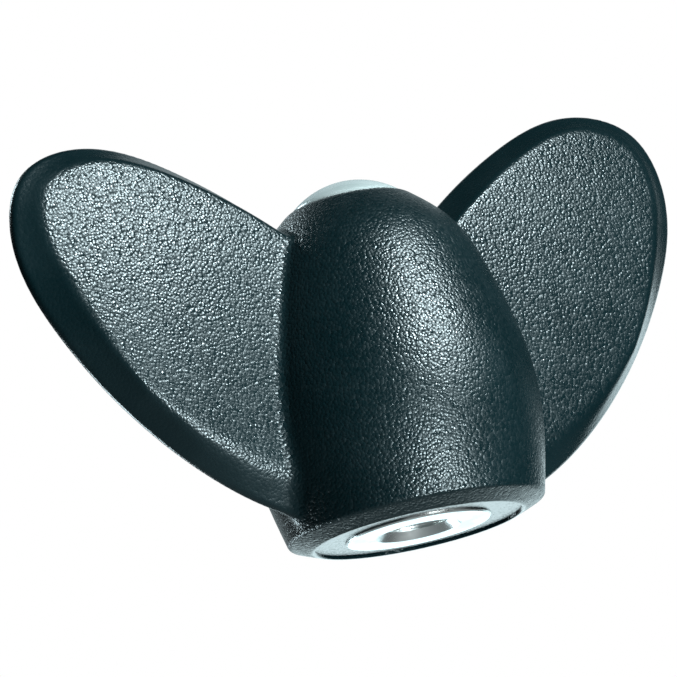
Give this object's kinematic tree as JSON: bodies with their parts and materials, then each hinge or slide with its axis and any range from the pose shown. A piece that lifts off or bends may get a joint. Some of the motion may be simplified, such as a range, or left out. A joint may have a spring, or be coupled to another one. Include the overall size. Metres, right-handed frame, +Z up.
{
  "type": "wing nut",
  "caption": "Moulded plastic wing nut with a barrel hub, two upswept wings with bulged faces and rounded rims, a threaded metal bushing in its base and a snap-in domed cap.",
  "frame": {"origin": "middle of the base plane, on the thread axis", "axes": "+Z up the hub from the base to the cap, wings along +X and -X"},
  "size_m": [0.0552, 0.0212, 0.0299],
  "materials": {
    "moulding": "fine spark-eroded grain, glass-filled polyamide",
    "bushing": "turned and zinc plated",
    "cap": "satin moulded"
  },
  "bodies": {
    "nut": {"wing_body": "moulding", "threaded_bushing": "bushing"},
    "cap": {"cover_cap": "cap"}
  },
  "joints": [
    {"name": "cap_pull", "type": "slide", "parent": "nut", "child": "cap", "axis": [0, 0, 1], "range_m": [0, 0.0065]}
  ]
}
